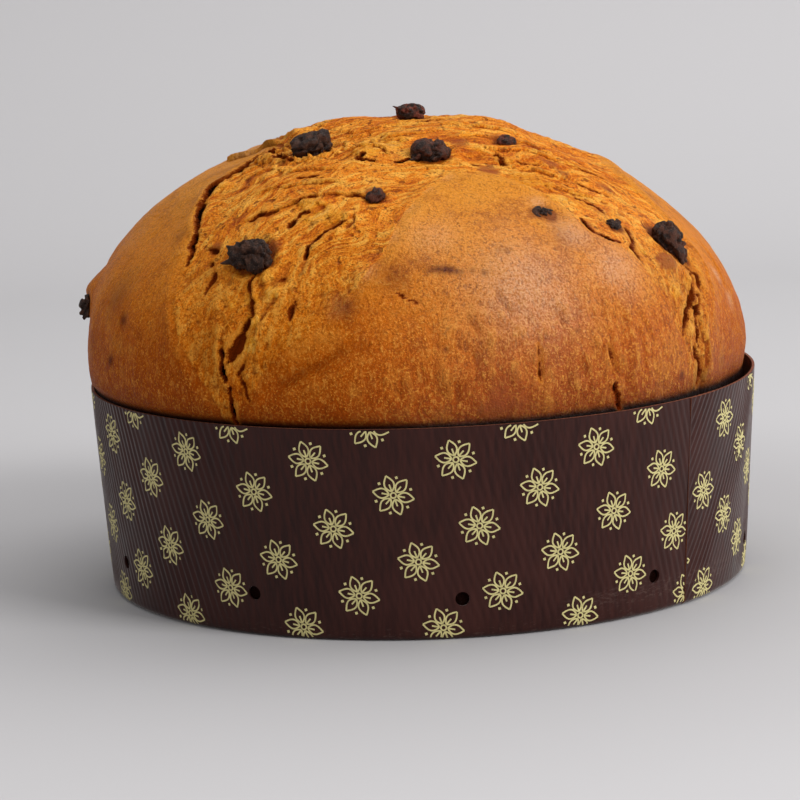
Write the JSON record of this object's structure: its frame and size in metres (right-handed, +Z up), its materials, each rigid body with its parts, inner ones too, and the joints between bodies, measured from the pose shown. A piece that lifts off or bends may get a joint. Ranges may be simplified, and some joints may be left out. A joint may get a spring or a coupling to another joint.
{
  "type": "panettone",
  "caption": "Low round panettone in a printed paper baking case: a tall browned dome, torn open between four lobes, with burnt raisins in the crust.",
  "frame": {"origin": "The middle of the case's flat foot, on the table.", "axes": "+Z is up, and the front that the picture shows faces -Y. +X is to the right in the picture."},
  "size_m": [0.2211, 0.219, 0.155],
  "materials": {
    "case_paper": "satin coated, finely fluted, dark brown",
    "crust": "baked crust, satin",
    "dried_fruit": "dried fruit skin, satin"
  },
  "bodies": {
    "root": {"paper_case": "case_paper", "loaf": "crust", "raisin_front_left": "dried_fruit", "raisin_top_left": "dried_fruit", "raisin_top_middle": "dried_fruit", "raisin_summit": "dried_fruit", "raisin_middle": "dried_fruit", "raisin_half_buried": "dried_fruit", "raisin_right_small": "dried_fruit", "raisin_right_crevice": "dried_fruit", "raisin_left_edge": "dried_fruit", "raisin_top_right": "dried_fruit", "raisin_back_left": "dried_fruit", "raisin_back_middle": "dried_fruit", "raisin_back_right": "dried_fruit", "raisin_right_side": "dried_fruit", "raisin_left_side": "dried_fruit", "raisin_back_high": "dried_fruit"}
  },
  "joints": []
}
